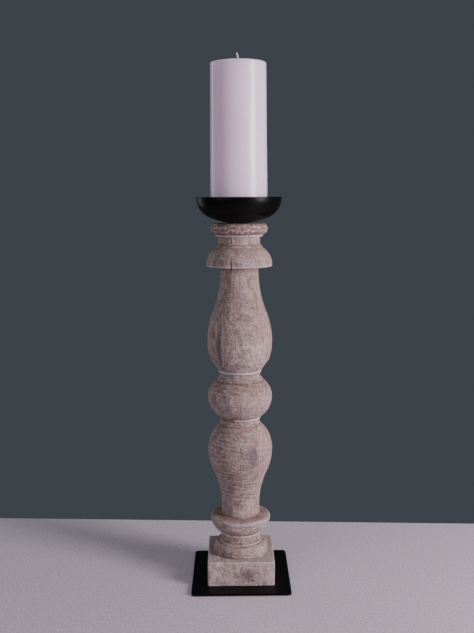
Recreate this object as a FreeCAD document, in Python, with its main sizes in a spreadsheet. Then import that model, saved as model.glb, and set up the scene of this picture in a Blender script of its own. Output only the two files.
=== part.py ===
import FreeCAD, Part
import math
import os
import Sketcher

# A free-standing candlestick: a turned wooden post on a square plinth, glued up from four upright boards,
# screwed to a thin steel plate on felt feet. A spun steel bowl is clamped to the top by a pricket, whose
# spike holds a pillar candle. +Z is up and the origin is on the ground under the middle of the post.
# All sizes are millimetres. Heights of the turned members are measured from the underside of the plinth.

doc = FreeCAD.newDocument("candlestick")
sheet = doc.addObject("Spreadsheet::Sheet", "Sizes")

sizes = {
    # foot: felt feet, steel plate and the screws that hold it
    "feltHeight": 1.0, "feltRadius": 9.0, "feltOffset": 50.0,
    "plateWidth": 130.0, "plateThickness": 3.0, "plateCornerRadius": 5.0, "plateEdge": 0.4,
    "screwOffset": 30.0, "clearanceHoleRadius": 2.2, "countersinkDiameter": 8.8,
    "screwSink": 0.2, "screwHeadRadius": 3.9, "screwRimHeight": 0.2, "screwHeadHeight": 2.1,
    "screwShankRadius": 2.0, "screwShankHeight": 7.0, "screwCoreRadius": 1.5, "screwCoreHeight": 16.6,
    "screwLength": 20.0, "screwRidgeRoot": 1.2, "screwRidgeFoot": 7.6, "screwRidgeMiddle": 8.0,
    "screwRidgeTop": 8.4, "screwPitch": 1.6, "screwTurns": 6, "recessLength": 4.6, "recessWidth": 1.0,
    "recessDepth": 1.1, "pilotRadius": 2.05, "pilotDepth": 18.0,
    # plinth, and the boards that the post is glued up from
    "plinthWidth": 88.5, "plinthHeight": 31.5, "plinthCornerRadius": 1.5, "plinthEdge": 1.2,
    "boardWidth": 22.25, "slabWidth": 40.0, "slabDepth": 120.0,
    # base ring
    "ringFootRadius": 35.4, "ringQuirkHeight": 32.4, "ringLipRadius": 36.6, "ringLipFoot": 33.0,
    "ringLipTop": 35.2, "ringRadius": 36.2, "ringBellyHeight": 36.4, "ringTopRadius": 30.5,
    "ringTopHeight": 46.2, "ringFilletRadius": 28.6, "ringFilletHeight": 47.8,
    "lowNeckRadius": 26.6, "lowNeckFootHeight": 49.0, "lowNeckTopHeight": 57.6,
    # cup that the lower vase stands in
    "cupFilletRadius": 28.9, "cupFilletFoot": 58.3, "cupFilletTop": 60.0, "cupFootRadius": 28.3,
    "cupRadius": 40.0, "cupRimHeight": 78.4, "cupLipRadius": 37.6, "cupLipHeight": 81.6,
    "cupGrooveRadius": 26.6, "cupGrooveHeight": 83.4, "cupCollarHeight": 84.2,
    # lower vase
    "shaftRadius": 25.4, "shaftFootHeight": 84.8, "shaftTopHeight": 94.8, "lowerTurnHeight": 141.4,
    "lowerVaseRadius": 43.2, "lowerVaseHeight": 172.4, "shoulderRadius": 28.8, "shoulderHeight": 205.4,
    "shoulderFilletRadius": 28.0, "shoulderFilletHeight": 206.8, "midNeckRadius": 26.4,
    "midNeckFootHeight": 208.4,
    # ball
    "midNeckTopHeight": 213.8, "ballFilletRadius": 27.9, "ballFilletFoot": 214.9, "ballFootHeight": 216.8,
    "ballFootRadius": 27.6, "ballRadius": 43.1, "ballHeight": 243.6, "ballTopRadius": 32.4,
    "ballTopHeight": 265.2, "ballGrooveRadius": 31.4, "ballCollarRadius": 31.2, "ballCollarFoot": 265.9,
    "ballCollarHeight": 267.0, "highNeckRadius": 27.2, "highNeckFootHeight": 271.2,
    # upper vase
    "highNeckTopHeight": 276.1, "vaseFilletRadius": 29.0, "vaseFilletFoot": 277.5, "vaseFootHeight": 279.9,
    "vaseFootRadius": 28.8, "vaseHipRadius": 39.1, "vaseHipHeight": 293.4, "upperVaseRadius": 43.5,
    "upperVaseHeight": 318.6, "upperTurnHeight": 358.1, "waistRadius": 25.6, "waistHeight": 412.7,
    "waistTopRadius": 26.0, "bellUndersideHeight": 418.8,
    # bell
    "bellEdgeRadius": 43.2, "bellRimRadius": 44.0, "bellRimFoot": 419.6, "bellRimHeight": 421.3,
    "bellTopRadius": 30.9, "bellTopHeight": 444.4, "bellFilletRadius": 30.7, "bellFilletFoot": 444.9,
    "bellFilletHeight": 446.2, "topNeckRadius": 27.9, "topNeckFootHeight": 449.4,
    # crown ring, and the bore for the threaded insert
    "topNeckTopHeight": 458.6, "crownFilletRadius": 31.5, "crownFilletFoot": 459.2, "crownFootHeight": 461.0,
    "crownFootRadius": 32.4, "crownRadius": 38.1, "crownBellyHeight": 469.0, "crownTopRadius": 34.2,
    "postHeight": 476.2, "boreRadius": 5.55, "boreFloorHeight": 460.0,
    # threaded insert, measured from its lower end
    "insertRadius": 5.0, "insertNeckHeight": 14.0, "insertHeadHeight": 14.5, "insertFlangeRadius": 8.0,
    "insertBoreRadius": 3.05, "insertRidgeRoot": 4.5, "insertRidgeRadius": 5.5, "insertRidgeFoot": 1.0,
    "insertRidgeMiddle": 1.7, "insertRidgeTop": 2.4, "insertPitch": 2.2, "insertTurns": 5,
    # bowl, measured from its flat foot
    "bowlFootRadius": 12.0, "bowlHipRadius": 40.0, "bowlHipHeight": 7.63, "bowlRimRadius": 56.8,
    "bowlDepth": 34.3, "bowlFloorHeight": 1.5, "bowlInnerHipRadius": 39.4, "bowlInnerHipHeight": 9.0,
    "bowlInnerRimRadius": 55.3, "bowlHoleRadius": 3.3, "rimRounding": 0.6,
    # pricket: washer, collar, spike and shank; the spike is measured from the end of its shank
    "washerRadius": 11.0, "washerHoleRadius": 3.2, "washerHeight": 1.0, "washerEdge": 0.2,
    "shankRadius": 2.5, "shankPlainHeight": 9.0, "shankCrestRadius": 3.0, "shankLength": 14.0,
    "shankRidgeRoot": 2.2, "shankRidgeFoot": 0.6, "shankRidgeMiddle": 1.1, "shankRidgeTop": 1.6,
    "shankPitch": 1.0, "shankTurns": 8, "collarRadius": 8.0, "collarBevelRadius": 7.4,
    "collarRimHeight": 16.4, "collarHeight": 17.0, "spikeRadius": 3.0, "spikeTipRadius": 0.4,
    "spikeTipHeight": 46.0,
    # candle, measured from its own underside, and its wick
    "candleSeat": 8.8, "candleFootFlat": 37.4, "candleFootRadius": 38.0, "candleFootBevel": 0.6,
    "candleTopRadius": 37.0, "candleShoulder": 200.6, "candleTopFlat": 35.6, "candleHeight": 202.0,
    "spikeHoleRadius": 3.5, "spikeHoleTip": 1.3, "spikeHoleDepth": 30.0, "wickHoleRadius": 1.15,
    "wickRadius": 1.1, "wickFoot": 32.0, "wickStraight": 171.5, "wickLean": 2.4, "wickLength": 183.4,
}

for row, (alias, value) in enumerate(sizes.items(), start=1):
    sheet.set("A%d" % row, alias)
    sheet.set("B%d" % row, str(value))
    sheet.setAlias("B%d" % row, alias)
doc.recompute()

# heights above the ground of each piece's own zero
plateLift = sizes["feltHeight"]
screwLift = plateLift + sizes["screwSink"]
postLift = plateLift + sizes["plateThickness"]
insertLift = postLift + sizes["postHeight"] - sizes["insertNeckHeight"]
bowlLift = insertLift + sizes["insertHeadHeight"]
washerLift = bowlLift + sizes["bowlFloorHeight"]
spikeLift = washerLift + sizes["washerHeight"] - sizes["shankLength"]
candleLift = bowlLift + sizes["candleSeat"]
wickLift = candleLift + sizes["wickFoot"]


def originPlane(body, role):
    for feature in body.Origin.OriginFeatures:
        if feature.Role == role:
            return feature
    raise RuntimeError("no plane " + role)


def newBody(label, x=0.0, y=0.0, z=0.0):
    body = doc.addObject("PartDesign::Body", label)
    body.Label = label
    body.Placement.Base = FreeCAD.Vector(x, y, z)
    return body


def newSketch(body, name, role="XZ_Plane"):
    sketch = body.newObject("Sketcher::SketchObject", name)
    sketch.AttachmentSupport = (originPlane(body, role), "")
    sketch.MapMode = "FlatFace"
    return sketch


def bindDistance(sketch, kind, geometry, point, name):
    # ties a point's distance from the sketch origin, along X or Y, to the sheet's value of that name
    index = sketch.addConstraint(Sketcher.Constraint(kind, -1, 1, geometry, point, sizes[name]))
    sketch.setExpression("Constraints[%d]" % index, "Sizes." + name)


def levelCentre(start, end, height):
    # radius of the centre, at the given height, that is as far from one point as from the other
    (r0, z0), (r1, z1) = start, end
    return (r0 * r0 - r1 * r1 + (z0 - height) ** 2 - (z1 - height) ** 2) / (2.0 * (r0 - r1))


def tangentCentre(start, end, direction):
    # centre of the arc from start to end that leaves start square to the given direction
    dr, dz = start[0] - end[0], start[1] - end[1]
    reach = -(dr * dr + dz * dz) / (2.0 * (dr * direction[0] + dz * direction[1]))
    return start[0] + reach * direction[0], start[1] + reach * direction[1]


def arcBetween(start, end, centre):
    # the shorter arc, always stored anticlockwise; the flag says that it runs from start to end
    startAngle = math.atan2(start[1] - centre[1], start[0] - centre[0])
    endAngle = math.atan2(end[1] - centre[1], end[0] - centre[0])
    forward = math.sin(endAngle - startAngle) > 0
    radius = math.hypot(start[0] - centre[0], start[1] - centre[1])
    circle = Part.Circle(FreeCAD.Vector(centre[0], centre[1], 0), FreeCAD.Vector(0, 0, 1), radius)
    if not forward:
        startAngle, endAngle = endAngle, startAngle
    if endAngle < startAngle:
        endAngle += 2.0 * math.pi
    return Part.ArcOfCircle(circle, startAngle, endAngle), forward


def outlinePoints(steps):
    # radius and height of each step; a radius of None lies on the chord between its two neighbours
    points = []
    for kind, radius, height in steps:
        r = 0.0 if radius == "axis" else (None if radius is None else sizes[radius])
        points.append((r, 0.0 if height == "base" else sizes[height]))
    for i, (r, z) in enumerate(points):
        if r is None:
            (r0, z0), (r1, z1) = points[i - 1], points[i + 1]
            points[i] = (r0 + (r1 - r0) * (z - z0) / (z1 - z0), z)
    return points


def drawOutline(sketch, steps):
    # Draws a closed outline of radius against height. Each step is how the line arrives, and the sheet's
    # names of the radius and height it arrives at. "line" is straight. "out" is an arc whose centre is level
    # with its start, "in" one whose centre is level with its end, "dome" one whose centre is on the axis,
    # and "flow" one that is tangent to the arc before it.
    points = outlinePoints(steps)
    count = len(steps)
    pieces = []
    centre = None
    for i in range(count):
        kind = steps[i][0]
        start, end = points[i - 1], points[i]
        if kind == "line":
            line = Part.LineSegment(FreeCAD.Vector(start[0], start[1], 0), FreeCAD.Vector(end[0], end[1], 0))
            pieces.append((sketch.addGeometry(line), 1, 2))
            continue
        if kind == "out":
            centre = (levelCentre(start, end, start[1]), start[1])
        elif kind == "in":
            centre = (levelCentre(start, end, end[1]), end[1])
        elif kind == "dome":
            swapped = levelCentre((start[1], start[0]), (end[1], end[0]), 0.0)
            centre = (0.0, swapped)
        else:
            length = math.hypot(centre[0] - start[0], centre[1] - start[1])
            direction = ((centre[0] - start[0]) / length, (centre[1] - start[1]) / length)
            centre = tangentCentre(start, end, direction)
        arc, forward = arcBetween(start, end, centre)
        index = sketch.addGeometry(arc)
        pieces.append((index, 1, 2) if forward else (index, 2, 1))
    for i in range(count):
        index, first, last = pieces[i]
        following, nextFirst, nextLast = pieces[(i + 1) % count]
        kind, radius, height = steps[i]
        smooth = radius is None or steps[(i + 1) % count][0] == "flow"
        joint = "Tangent" if smooth else "Coincident"
        sketch.addConstraint(Sketcher.Constraint(joint, index, last, following, nextFirst))
        if radius == "axis":
            sketch.addConstraint(Sketcher.Constraint("PointOnObject", index, last, -2))
        elif radius is not None:
            bindDistance(sketch, "DistanceX", index, last, radius)
        if height == "base":
            sketch.addConstraint(Sketcher.Constraint("PointOnObject", index, last, -1))
        else:
            bindDistance(sketch, "DistanceY", index, last, height)
        if kind == "out":
            sketch.addConstraint(Sketcher.Constraint("Horizontal", index, 3, index, first))
        elif kind == "in":
            sketch.addConstraint(Sketcher.Constraint("Horizontal", index, 3, index, last))
        elif kind == "dome":
            sketch.addConstraint(Sketcher.Constraint("PointOnObject", index, 3, -2))


def revolve(body, name, steps, kind="PartDesign::Revolution"):
    # one turned member: its outline, swung a full turn about the body's upright axis
    sketch = newSketch(body, name + "_outline")
    drawOutline(sketch, steps)
    feature = body.newObject(kind, name)
    feature.Profile = sketch
    feature.ReferenceAxis = (sketch, ["V_Axis"])
    feature.Angle = 360.0
    sketch.Visibility = False
    doc.recompute()
    return feature


def drawRectangle(sketch, widthName, depthName):
    # a rectangle about the sketch origin, its sides taken from the sheet
    right, far = sizes[widthName] / 2.0, sizes[depthName] / 2.0
    corners = [(-right, -far), (right, -far), (right, far), (-right, far)]
    for i in range(4):
        start, end = corners[i], corners[(i + 1) % 4]
        sketch.addGeometry(Part.LineSegment(FreeCAD.Vector(*start, 0), FreeCAD.Vector(*end, 0)))
    for i in range(4):
        sketch.addConstraint(Sketcher.Constraint("Coincident", i, 2, (i + 1) % 4, 1))
        sketch.addConstraint(Sketcher.Constraint("Vertical" if i % 2 else "Horizontal", i))
    sketch.addConstraint(Sketcher.Constraint("Symmetric", 0, 1, 2, 1, -1, 1))
    for i, kind, name in ((0, "DistanceX", widthName), (1, "DistanceY", depthName)):
        index = sketch.addConstraint(Sketcher.Constraint(kind, i, 1, i, 2, sizes[name]))
        sketch.setExpression("Constraints[%d]" % index, "Sizes." + name)


def drawCircles(sketch, centres, radiusName, offsetName):
    # equal circles, one at each centre, given as signs of the sheet's offset along X and Y
    for xSign, ySign in centres:
        x, y = xSign * sizes[offsetName], ySign * sizes[offsetName]
        circle = Part.Circle(FreeCAD.Vector(x, y, 0), FreeCAD.Vector(0, 0, 1), sizes[radiusName])
        index = sketch.addGeometry(circle)
        radius = sketch.addConstraint(Sketcher.Constraint("Radius", index, sizes[radiusName]))
        sketch.setExpression("Constraints[%d]" % radius, "Sizes." + radiusName)
        for kind, sign in (("DistanceX", xSign), ("DistanceY", ySign)):
            place = sketch.addConstraint(Sketcher.Constraint(kind, -1, 1, index, 3, sign * sizes[offsetName]))
            sketch.setExpression("Constraints[%d]" % place, "%d * Sizes.%s" % (sign, offsetName))


def pad(body, name, sketch, lengthName):
    feature = body.newObject("PartDesign::Pad", name)
    feature.Profile = sketch
    feature.setExpression("Length", "Sizes." + lengthName)
    sketch.Visibility = False
    doc.recompute()
    return feature


def dressEdges(body, base, kind, name, sizeName, chosen):
    # rounds or bevels the edges of the feature before it that the chosen test accepts
    names = ["Edge%d" % (i + 1) for i, edge in enumerate(base.Shape.Edges) if chosen(edge)]
    feature = body.newObject(kind, name)
    feature.Base = (base, names)
    feature.setExpression("Radius" if kind.endswith("Fillet") else "Size", "Sizes." + sizeName)
    doc.recompute()
    return feature


def isUpright(edge):
    box = edge.BoundBox
    return box.ZLength > 1.0 and box.XLength < 0.01 and box.YLength < 0.01


def isLevelAt(height):
    return lambda edge: edge.BoundBox.ZLength < 0.01 and abs(edge.BoundBox.ZMin - height) < 0.01


def cutUp(body, name, sketch, depthName):
    # a pocket from the sketch's plane up into the solid
    feature = body.newObject("PartDesign::Pocket", name)
    feature.Profile = sketch
    feature.Reversed = True
    feature.setExpression("Length", "Sizes." + depthName)
    sketch.Visibility = False
    doc.recompute()
    return feature


def thread(body, stem, root, crest):
    # ridges round a shank: one three-sided ridge, revolved, then copied up the body's axis
    ridge = revolve(body, stem + "Ridge", [
        ("line", root, stem + "RidgeFoot"),
        ("line", crest, stem + "RidgeMiddle"),
        ("line", root, stem + "RidgeTop"),
    ])
    pattern = body.newObject("PartDesign::LinearPattern", stem + "Thread")
    pattern.Originals = [ridge]
    pattern.Direction = (originPlane(body, "Z_Axis"), [""])
    pattern.Occurrences = int(sizes[stem + "Turns"])
    pattern.setExpression("Length", "Sizes.%sPitch * (Sizes.%sTurns - 1)" % (stem, stem))
    body.Tip = pattern
    doc.recompute()


subParts = []


def finish(piece, label):
    # names a finished sub-part after its node
    piece.Label = label
    subParts.append(piece)
    return piece


def makePost():
    # the whole turned post, before it is split into boards
    body = newBody("turnedPost", z=postLift)
    sketch = newSketch(body, "plinth_outline", "XY_Plane")
    drawRectangle(sketch, "plinthWidth", "plinthWidth")
    plinth = pad(body, "plinth", sketch, "plinthHeight")
    corners = dressEdges(body, plinth, "PartDesign::Fillet", "plinthCorners", "plinthCornerRadius", isUpright)
    dressEdges(body, corners, "PartDesign::Fillet", "plinthTopEdge", "plinthEdge",
               isLevelAt(sizes["plinthHeight"]))
    revolve(body, "baseRing", [
        ("line", "axis", "plinthHeight"),
        ("line", "ringFootRadius", "plinthHeight"),
        ("line", "ringFootRadius", "ringQuirkHeight"),
        ("line", "ringLipRadius", "ringLipFoot"),
        ("line", "ringLipRadius", "ringLipTop"),
        ("line", "ringRadius", "ringBellyHeight"),
        ("out", "ringTopRadius", "ringTopHeight"),
        ("line", "ringFilletRadius", "ringTopHeight"),
        ("line", "ringFilletRadius", "ringFilletHeight"),
        ("line", "lowNeckRadius", "lowNeckFootHeight"),
        ("line", "axis", "lowNeckFootHeight"),
    ])
    revolve(body, "cup", [
        ("line", "axis", "lowNeckFootHeight"),
        ("line", "lowNeckRadius", "lowNeckFootHeight"),
        ("line", "lowNeckRadius", "lowNeckTopHeight"),
        ("line", "cupFilletRadius", "cupFilletFoot"),
        ("line", "cupFilletRadius", "cupFilletTop"),
        ("line", "cupFootRadius", "cupFilletTop"),
        ("in", "cupRadius", "cupRimHeight"),
        ("out", "cupLipRadius", "cupLipHeight"),
        ("line", "cupGrooveRadius", "cupGrooveHeight"),
        ("line", "cupGrooveRadius", "cupCollarHeight"),
        ("line", "shaftRadius", "shaftFootHeight"),
        ("line", "axis", "shaftFootHeight"),
    ])
    revolve(body, "lowerVase", [
        ("line", "axis", "shaftFootHeight"),
        ("line", "shaftRadius", "shaftFootHeight"),
        ("line", "shaftRadius", "shaftTopHeight"),
        ("out", None, "lowerTurnHeight"),
        ("in", "lowerVaseRadius", "lowerVaseHeight"),
        ("out", "shoulderRadius", "shoulderHeight"),
        ("line", "shoulderFilletRadius", "shoulderHeight"),
        ("line", "shoulderFilletRadius", "shoulderFilletHeight"),
        ("line", "midNeckRadius", "midNeckFootHeight"),
        ("line", "axis", "midNeckFootHeight"),
    ])
    revolve(body, "ball", [
        ("line", "axis", "midNeckFootHeight"),
        ("line", "midNeckRadius", "midNeckFootHeight"),
        ("line", "midNeckRadius", "midNeckTopHeight"),
        ("line", "ballFilletRadius", "ballFilletFoot"),
        ("line", "ballFilletRadius", "ballFootHeight"),
        ("line", "ballFootRadius", "ballFootHeight"),
        ("in", "ballRadius", "ballHeight"),
        ("out", "ballTopRadius", "ballTopHeight"),
        ("line", "ballGrooveRadius", "ballTopHeight"),
        ("line", "ballGrooveRadius", "ballCollarFoot"),
        ("line", "ballCollarRadius", "ballCollarHeight"),
        ("line", "highNeckRadius", "highNeckFootHeight"),
        ("line", "axis", "highNeckFootHeight"),
    ])
    revolve(body, "upperVase", [
        ("line", "axis", "highNeckFootHeight"),
        ("line", "highNeckRadius", "highNeckFootHeight"),
        ("line", "highNeckRadius", "highNeckTopHeight"),
        ("line", "vaseFilletRadius", "vaseFilletFoot"),
        ("line", "vaseFilletRadius", "vaseFootHeight"),
        ("line", "vaseFootRadius", "vaseFootHeight"),
        ("line", "vaseHipRadius", "vaseHipHeight"),
        ("in", "upperVaseRadius", "upperVaseHeight"),
        ("out", None, "upperTurnHeight"),
        ("in", "waistRadius", "waistHeight"),
        ("line", "waistTopRadius", "bellUndersideHeight"),
        ("line", "axis", "bellUndersideHeight"),
    ])
    revolve(body, "bell", [
        ("line", "axis", "bellUndersideHeight"),
        ("line", "bellEdgeRadius", "bellUndersideHeight"),
        ("line", "bellRimRadius", "bellRimFoot"),
        ("line", "bellRimRadius", "bellRimHeight"),
        ("out", "bellTopRadius", "bellTopHeight"),
        ("line", "bellFilletRadius", "bellFilletFoot"),
        ("line", "bellFilletRadius", "bellFilletHeight"),
        ("line", "topNeckRadius", "topNeckFootHeight"),
        ("line", "axis", "topNeckFootHeight"),
    ])
    revolve(body, "crown", [
        ("line", "axis", "topNeckFootHeight"),
        ("line", "topNeckRadius", "topNeckFootHeight"),
        ("line", "topNeckRadius", "topNeckTopHeight"),
        ("line", "crownFilletRadius", "crownFilletFoot"),
        ("line", "crownFilletRadius", "crownFootHeight"),
        ("line", "crownFootRadius", "crownFootHeight"),
        ("in", "crownRadius", "crownBellyHeight"),
        ("out", "crownTopRadius", "postHeight"),
        ("line", "axis", "postHeight"),
    ])
    revolve(body, "insertBore", [
        ("line", "axis", "boreFloorHeight"),
        ("line", "boreRadius", "boreFloorHeight"),
        ("line", "boreRadius", "postHeight"),
        ("line", "axis", "postHeight"),
    ], "PartDesign::Groove")
    pilots = newSketch(body, "pilot_places", "XY_Plane")
    drawCircles(pilots, fourCorners, "pilotRadius", "screwOffset")
    cutUp(body, "pilotHoles", pilots, "pilotDepth")
    return body


fourCorners = [(-1, -1), (1, -1), (1, 1), (-1, 1)]


def makeBoards(post):
    # The post's timber: upright boards side by side along X, glued before turning. Each is the part of the
    # post inside its own slab, and the outer slabs reach past the post's widest radius.
    slabs = [
        ("left_outer_board", "-Sizes.boardWidth - Sizes.slabWidth", "slabWidth"),
        ("left_inner_board", "-Sizes.boardWidth", "boardWidth"),
        ("right_inner_board", "0", "boardWidth"),
        ("right_outer_board", "Sizes.boardWidth", "slabWidth"),
    ]
    for label, left, widthName in slabs:
        slab = doc.addObject("Part::Box", label + "_slab")
        slab.setExpression("Length", "Sizes." + widthName)
        slab.setExpression("Width", "Sizes.slabDepth")
        slab.setExpression("Height", "Sizes.postHeight")
        slab.setExpression("Placement.Base.x", left + " * 1 mm" if left == "0" else left)
        slab.setExpression("Placement.Base.y", "-Sizes.slabDepth / 2")
        slab.setExpression("Placement.Base.z", "Sizes.feltHeight + Sizes.plateThickness")
        board = doc.addObject("Part::Common", label)
        board.Base = post
        board.Tool = slab
        doc.recompute()
        finish(board, label)


def makePlate():
    body = newBody("base_plate", z=plateLift)
    sketch = newSketch(body, "plate_outline", "XY_Plane")
    drawRectangle(sketch, "plateWidth", "plateWidth")
    blank = pad(body, "plateBlank", sketch, "plateThickness")
    corners = dressEdges(body, blank, "PartDesign::Fillet", "plateCorners", "plateCornerRadius", isUpright)
    dressEdges(body, corners, "PartDesign::Chamfer", "plateTopEdge", "plateEdge",
               isLevelAt(sizes["plateThickness"]))
    places = newSketch(body, "screw_places", "XY_Plane")
    drawCircles(places, fourCorners, "clearanceHoleRadius", "screwOffset")
    doc.recompute()
    holes = body.newObject("PartDesign::Hole", "screwHoles")
    holes.Profile = places
    holes.Reversed = True
    holes.Threaded = False
    holes.DepthType = "ThroughAll"
    holes.setExpression("Diameter", "2 * Sizes.clearanceHoleRadius")
    holes.HoleCutType = "Countersink"
    holes.HoleCutCustomValues = True
    holes.setExpression("HoleCutDiameter", "Sizes.countersinkDiameter")
    holes.HoleCutCountersinkAngle = 90.0
    places.Visibility = False
    doc.recompute()
    return finish(body, "base_plate")


def makeFeltFeet():
    names = ["front_left", "front_right", "rear_right", "rear_left"]
    for name, (xSign, ySign) in zip(names, fourCorners):
        body = newBody("felt_foot_" + name, xSign * sizes["feltOffset"], ySign * sizes["feltOffset"])
        revolve(body, "felt_" + name, [
            ("line", "axis", "base"),
            ("line", "feltRadius", "base"),
            ("line", "feltRadius", "feltHeight"),
            ("line", "axis", "feltHeight"),
        ])
        finish(body, "felt_foot_" + name)


def makeScrew(number, x, y):
    # a countersunk wood screw, head down, point up
    body = newBody("woodScrew%d" % number, x, y, screwLift)
    revolve(body, "screwBlank", [
        ("line", "axis", "base"),
        ("line", "screwHeadRadius", "base"),
        ("line", "screwHeadRadius", "screwRimHeight"),
        ("line", "screwShankRadius", "screwHeadHeight"),
        ("line", "screwShankRadius", "screwShankHeight"),
        ("line", "screwCoreRadius", "screwShankHeight"),
        ("line", "screwCoreRadius", "screwCoreHeight"),
        ("line", "axis", "screwLength"),
    ])
    for name, width, depth in (("recessAcross", "recessLength", "recessWidth"),
                               ("recessAlong", "recessWidth", "recessLength")):
        sketch = newSketch(body, name + "_outline", "XY_Plane")
        drawRectangle(sketch, width, depth)
        cutUp(body, name, sketch, "recessDepth")
    thread(body, "screw", "screwRidgeRoot", "screwShankRadius")
    return body


def makeScrews():
    screws = []
    for number, (xSign, ySign) in enumerate(fourCorners, start=1):
        offset = sizes["screwOffset"]
        screws.append(makeScrew(number, xSign * offset, ySign * offset))
    group = doc.addObject("Part::Compound", "plate_screws")
    group.Links = screws
    doc.recompute()
    return finish(group, "plate_screws")


def makeInsert():
    body = newBody("threaded_insert", z=insertLift)
    revolve(body, "insertBlank", [
        ("line", "insertBoreRadius", "base"),
        ("line", "insertRadius", "base"),
        ("line", "insertRadius", "insertNeckHeight"),
        ("line", "insertFlangeRadius", "insertNeckHeight"),
        ("line", "insertFlangeRadius", "insertHeadHeight"),
        ("line", "insertBoreRadius", "insertHeadHeight"),
    ])
    thread(body, "insert", "insertRidgeRoot", "insertRidgeRadius")
    return finish(body, "threaded_insert")


def makeBowl():
    # a spun bowl of even thickness: a shallow dome from the flat foot, then a tighter curve to the rim
    body = newBody("candle_bowl", z=bowlLift)
    revolve(body, "bowlOutside", [
        ("line", "bowlHoleRadius", "base"),
        ("line", "bowlFootRadius", "base"),
        ("dome", "bowlHipRadius", "bowlHipHeight"),
        ("flow", "bowlRimRadius", "bowlDepth"),
        ("line", "bowlHoleRadius", "bowlDepth"),
    ])
    hollow = revolve(body, "bowlInside", [
        ("line", "axis", "bowlFloorHeight"),
        ("line", "bowlFootRadius", "bowlFloorHeight"),
        ("dome", "bowlInnerHipRadius", "bowlInnerHipHeight"),
        ("flow", "bowlInnerRimRadius", "bowlDepth"),
        ("line", "axis", "bowlDepth"),
    ], "PartDesign::Groove")
    dressEdges(body, hollow, "PartDesign::Fillet", "bowlRim", "rimRounding", isLevelAt(sizes["bowlDepth"]))
    return finish(body, "candle_bowl")


def makeWasher():
    body = newBody("pricket_washer", z=washerLift)
    ring = revolve(body, "washerRing", [
        ("line", "washerHoleRadius", "base"),
        ("line", "washerRadius", "base"),
        ("line", "washerRadius", "washerHeight"),
        ("line", "washerHoleRadius", "washerHeight"),
    ])
    dressEdges(body, ring, "PartDesign::Fillet", "washerRim", "washerEdge", isLevelAt(sizes["washerHeight"]))
    return finish(body, "pricket_washer")


def makePricket():
    # one turned piece: threaded shank, collar with a bevelled rim, and the spike
    body = newBody("pricket_spike", z=spikeLift)
    revolve(body, "pricketBlank", [
        ("line", "axis", "base"),
        ("line", "shankRadius", "base"),
        ("line", "shankRadius", "shankPlainHeight"),
        ("line", "shankCrestRadius", "shankPlainHeight"),
        ("line", "shankCrestRadius", "shankLength"),
        ("line", "collarRadius", "shankLength"),
        ("line", "collarRadius", "collarRimHeight"),
        ("line", "collarBevelRadius", "collarHeight"),
        ("line", "spikeRadius", "collarHeight"),
        ("line", "spikeTipRadius", "spikeTipHeight"),
        ("line", "axis", "spikeTipHeight"),
    ])
    thread(body, "shank", "shankRidgeRoot", "shankCrestRadius")
    return finish(body, "pricket_spike")


def makeCandle():
    body = newBody("candle_wax", z=candleLift)
    revolve(body, "pillar", [
        ("line", "axis", "base"),
        ("line", "candleFootFlat", "base"),
        ("line", "candleFootRadius", "candleFootBevel"),
        ("line", "candleTopRadius", "candleShoulder"),
        ("out", "candleTopFlat", "candleHeight"),
        ("line", "axis", "candleHeight"),
    ])
    revolve(body, "spikeHole", [
        ("line", "axis", "base"),
        ("line", "spikeHoleRadius", "base"),
        ("line", "spikeHoleTip", "spikeHoleDepth"),
        ("line", "wickHoleRadius", "spikeHoleDepth"),
        ("line", "wickHoleRadius", "candleHeight"),
        ("line", "axis", "candleHeight"),
    ], "PartDesign::Groove")
    return finish(body, "candle_wax")


def makeWick():
    # a round cord, straight inside the wax, that bends to the left above it
    body = newBody("candle_wick", z=wickLift)
    straight, lean, top = sizes["wickStraight"], sizes["wickLean"], sizes["wickLength"]
    spine = newSketch(body, "wick_path")
    spine.addGeometry(Part.LineSegment(FreeCAD.Vector(0, 0, 0), FreeCAD.Vector(0, straight, 0)))
    centre = (levelCentre((0.0, straight), (-lean, top), straight), straight)
    bend, forward = arcBetween((0.0, straight), (-lean, top), centre)
    spine.addGeometry(bend)
    spine.addConstraint(Sketcher.Constraint("Coincident", 0, 1, -1, 1))
    spine.addConstraint(Sketcher.Constraint("Vertical", 0))
    spine.addConstraint(Sketcher.Constraint("Tangent", 0, 2, 1, 1))
    for kind, geometry, point, value, formula in (
            ("DistanceY", 0, 2, straight, "Sizes.wickStraight"),
            ("DistanceY", 1, 2, top, "Sizes.wickLength"),
            ("DistanceX", 1, 2, -lean, "-Sizes.wickLean")):
        index = spine.addConstraint(Sketcher.Constraint(kind, -1, 1, geometry, point, value))
        spine.setExpression("Constraints[%d]" % index, formula)
    section = newSketch(body, "wick_section", "XY_Plane")
    drawCircles(section, [(0, 0)], "wickRadius", "wickRadius")
    doc.recompute()
    pipe = body.newObject("PartDesign::AdditivePipe", "cord")
    pipe.Profile = section
    pipe.Spine = spine
    section.Visibility = False
    spine.Visibility = False
    doc.recompute()
    return finish(body, "candle_wick")


def checkDocument():
    # nothing is written unless every object solved and every sub-part is a sound solid
    for item in doc.Objects:
        if "Invalid" in item.State or "Error" in item.State:
            raise RuntimeError("%s did not solve: %s" % (item.Label, item.State))
        if item.TypeId == "Sketcher::SketchObject" and not item.FullyConstrained:
            raise RuntimeError("%s is not fully constrained" % item.Label)
    for piece in subParts:
        shape = piece.Shape
        if shape.isNull() or not shape.isValid() or not shape.Solids:
            raise RuntimeError("%s is not a sound solid" % piece.Label)


def writeParts():
    os.makedirs("parts", exist_ok=True)
    for piece in subParts:
        piece.Shape.exportStep(os.path.join("parts", piece.Label + ".step"))
        box = piece.Shape.BoundBox
        print("%-22s %d solid(s) %10.1f mm3, z %.2f to %.2f"
              % (piece.Label, len(piece.Shape.Solids), piece.Shape.Volume, box.ZMin, box.ZMax))


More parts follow.
